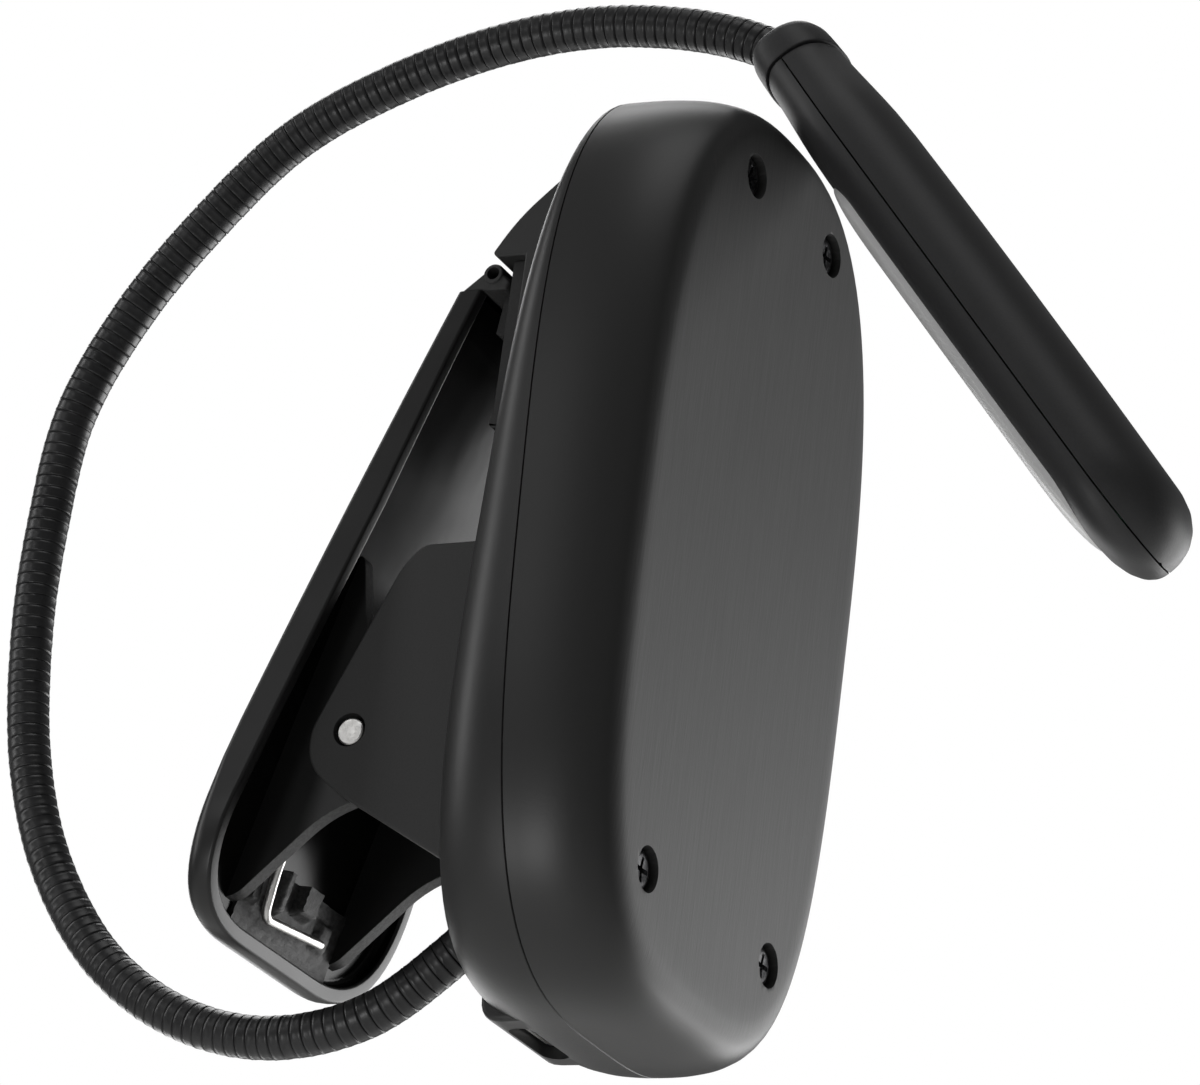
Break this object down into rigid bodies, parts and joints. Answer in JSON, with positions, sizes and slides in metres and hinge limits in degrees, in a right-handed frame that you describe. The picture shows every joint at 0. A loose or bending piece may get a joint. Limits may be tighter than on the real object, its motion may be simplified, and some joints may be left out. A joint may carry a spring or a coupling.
{
  "type": "clip-on reading lamp",
  "caption": "Rechargeable clip-on reading lamp: oval base with a sprung jaw, a wound gooseneck and a slim flat lamp head with a milky diffuser.",
  "frame": {"origin": "middle of the fixed jaw pad's gripping face, where the lamp holds what it is clipped to", "axes": "+Y from the screw cover through the pad towards the lever, +Z along the base to the jaw's mouth, +X across the base"},
  "size_m": [0.0582, 0.1374, 0.1209],
  "materials": {
    "cover_plastic": "fine lengthwise grain, satin",
    "black_plastic": "smooth satin moulding",
    "rubber": "soft matte",
    "black_steel": "black oxide",
    "bright_steel": "bright",
    "neck_winding": "close-wound rings, semi-gloss black",
    "diffuser": "milky, satin",
    "cell_foil": "foil pouch",
    "board": "solder mask",
    "switch_plastic": "moulded",
    "led_phosphor": "phosphor under clear resin"
  },
  "bodies": {
    "base": {"base_cover": "cover_plastic", "clamp_shell": "black_plastic", "cover_screw_1": "black_steel", "cover_screw_2": "black_steel", "cover_screw_3": "black_steel", "cover_screw_4": "black_steel", "battery_cell": "cell_foil", "circuit_board": "board", "charge_socket": "bright_steel", "push_switch": "switch_plastic", "jaw_pad": "rubber", "pivot_pin": "bright_steel", "torsion_spring": "bright_steel", "neck_socket": "black_plastic", "neck_link_0": "neck_winding"},
    "button": {"power_button": "rubber"},
    "lever": {"lever": "black_plastic", "lever_grip": "rubber"},
    "neck_1": {"neck_link_1": "neck_winding"},
    "neck_2": {"neck_link_2": "neck_winding"},
    "neck_3": {"neck_link_3": "neck_winding"},
    "neck_4": {"neck_link_4": "neck_winding"},
    "neck_5": {"neck_link_5": "neck_winding"},
    "neck_6": {"neck_link_6": "neck_winding"},
    "neck_7": {"neck_link_7": "neck_winding"},
    "head": {"neck_link_8": "neck_winding", "head_collar": "black_plastic", "head_back_shell": "black_plastic", "head_front_shell": "black_plastic", "head_diffuser": "diffuser", "led_board": "board", "led_1": "led_phosphor", "led_2": "led_phosphor", "led_3": "led_phosphor", "led_4": "led_phosphor", "led_5": "led_phosphor", "led_6": "led_phosphor"}
  },
  "joints": [
    {"name": "lever_pivot", "type": "hinge", "parent": "base", "child": "lever", "pos_m": [0, 0.0107, -0.0439], "axis": [-1, 0, 0], "range_deg": [0, 21], "stiffness_Nm_per_rad": 0.63, "springref_deg": -38.96},
    {"name": "button_press", "type": "slide", "parent": "base", "child": "button", "axis": [-1, 0, 0], "range_m": [0, 0.0008], "stiffness_N_per_m": 400, "springref_m": -0.0008},
    {"name": "neck_bend_1", "type": "hinge", "parent": "base", "child": "neck_1", "pos_m": [0, 0.01348, -0.07068], "axis": [-1, 0, 0], "range_deg": [0, 32]},
    {"name": "neck_bend_2", "type": "hinge", "parent": "neck_1", "child": "neck_2", "pos_m": [0, 0.0385, -0.06797], "axis": [-1, 0, 0], "range_deg": [0, 32]},
    {"name": "neck_sway", "type": "hinge", "parent": "neck_2", "child": "neck_3", "pos_m": [0, 0.05532, -0.04875], "axis": [0, -0.9089, 0.4169], "range_deg": [-20, 20]},
    {"name": "neck_bend_4", "type": "hinge", "parent": "neck_3", "child": "neck_4", "pos_m": [0, 0.06111, -0.02358], "axis": [-1, 0, 0], "range_deg": [0, 32]},
    {"name": "neck_bend_5", "type": "hinge", "parent": "neck_4", "child": "neck_5", "pos_m": [0, 0.05981, 0.00226], "axis": [-1, 0, 0], "range_deg": [0, 32]},
    {"name": "neck_bend", "type": "hinge", "parent": "neck_5", "child": "neck_6", "pos_m": [0, 0.04643, 0.02429], "axis": [-1, 0, 0], "range_deg": [0, 32]},
    {"name": "head_turn", "type": "hinge", "parent": "neck_6", "child": "neck_7", "pos_m": [0, 0.02561, 0.03917], "axis": [0, -0.359, -0.9333], "range_deg": [-14, 14]},
    {"name": "head_tilt", "type": "hinge", "parent": "neck_7", "child": "head", "pos_m": [0, 0.00025, 0.04389], "axis": [-1, 0, 0], "range_deg": [0, 45]}
  ],
  "couplings": [
    {"joint": "neck_bend_1", "follows": "neck_bend", "ratio": 1},
    {"joint": "neck_bend_2", "follows": "neck_bend", "ratio": 1},
    {"joint": "neck_bend_4", "follows": "neck_bend", "ratio": 1},
    {"joint": "neck_bend_5", "follows": "neck_bend", "ratio": 1}
  ]
}
